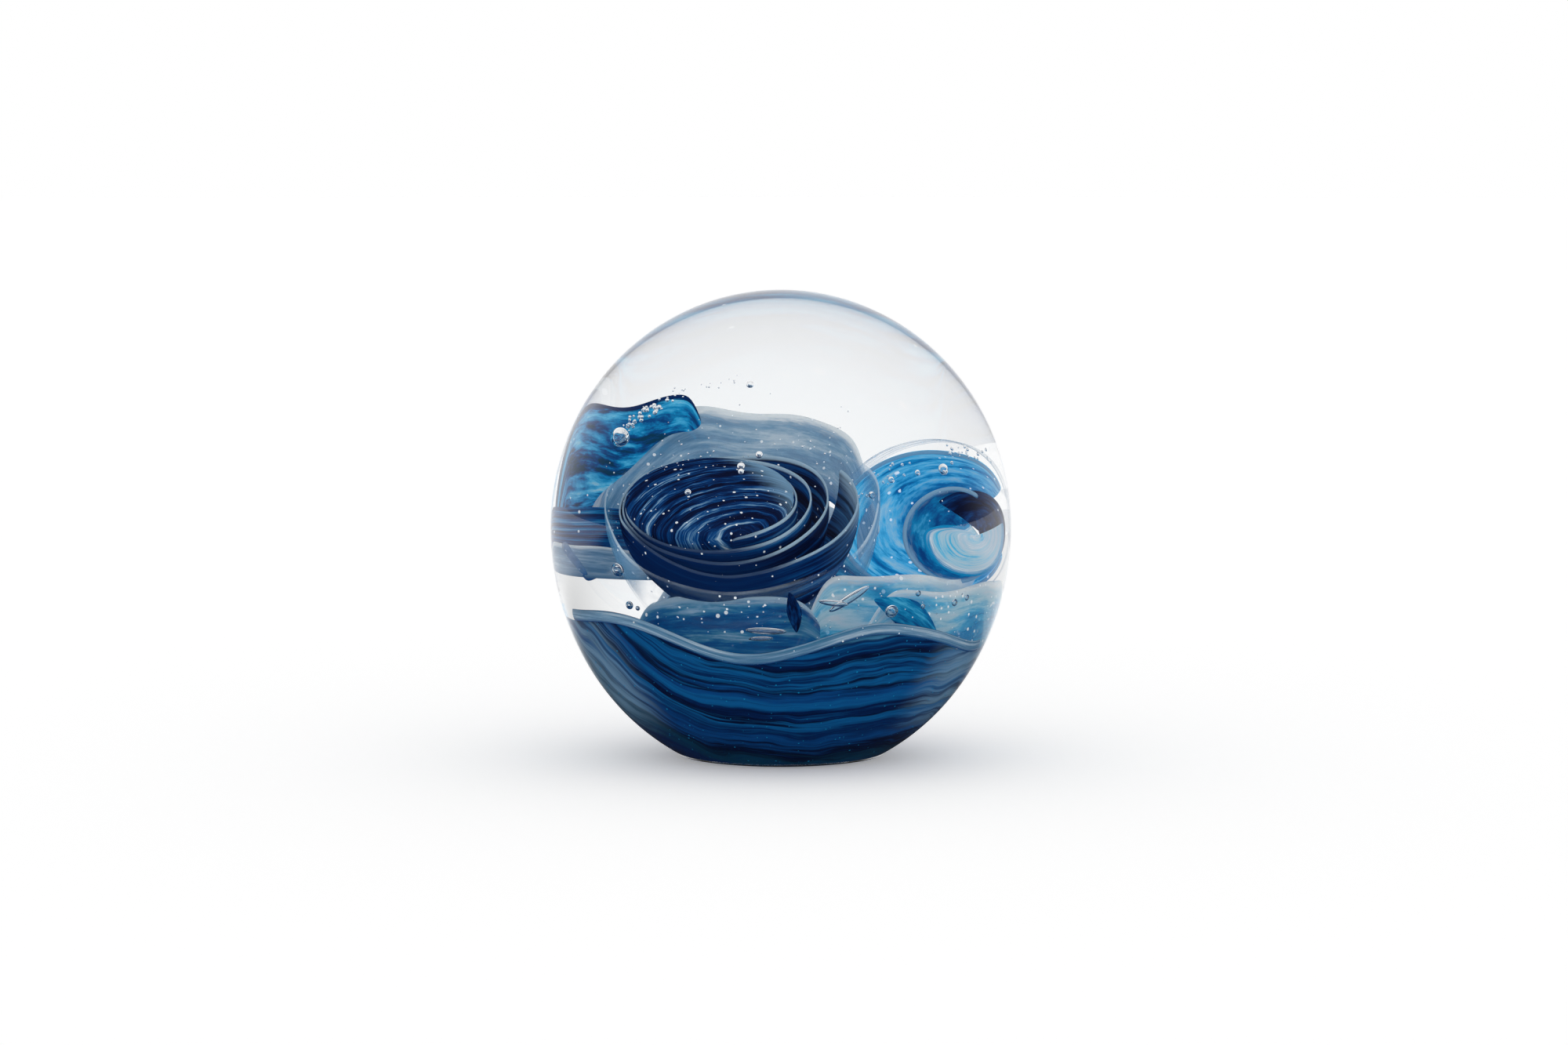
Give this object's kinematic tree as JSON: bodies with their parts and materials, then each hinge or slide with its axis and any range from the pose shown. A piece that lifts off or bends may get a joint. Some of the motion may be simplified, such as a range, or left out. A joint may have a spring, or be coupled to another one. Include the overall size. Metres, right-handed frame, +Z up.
{
  "type": "glass paperweight",
  "caption": "Clear glass globe paperweight with folded ribbons and coils of blue glass and air bubbles sealed inside, on a flat ground foot.",
  "frame": {"origin": "centre of the flat foot, in the plane that rests on the desk", "axes": "+Z up through the top of the dome, -Y towards the front, where the big coil faces, +X to the right seen from the front"},
  "size_m": [0.08, 0.08, 0.0812],
  "materials": {
    "clear_glass": "clear, fire polished, with round air bubbles",
    "navy_glass": "deep blue, streaked",
    "teal_glass": "blue-green, banded",
    "royal_glass": "royal blue, streaked",
    "cerulean_glass": "bright blue",
    "sky_glass": "mid blue, banded",
    "pale_glass": "milky pale blue",
    "mist_glass": "grey-blue, half clear",
    "foam_glass": "pale blue, full of seeds"
  },
  "bodies": {
    "root": {"base_band_1": "teal_glass", "base_band_2": "royal_glass", "base_band_3": "sky_glass", "base_band_4": "royal_glass", "base_foot": "navy_glass", "coil_heart": "navy_glass", "coil_lip_1": "pale_glass", "coil_lip_2": "navy_glass", "coil_lip_3": "navy_glass", "coil_lip_4": "navy_glass", "crest_veil": "mist_glass", "curl_hook": "mist_glass", "curl_knot": "navy_glass", "curl_outer": "cerulean_glass", "curl_tongue": "pale_glass", "foam_fold": "foam_glass", "inner_gather": "clear_glass", "leaf": "navy_glass", "left_fold": "mist_glass", "left_wave": "royal_glass", "outer_gather": "clear_glass", "rear_fold": "royal_glass", "ripple_high": "pale_glass", "ripple_low": "royal_glass"}
  },
  "joints": []
}
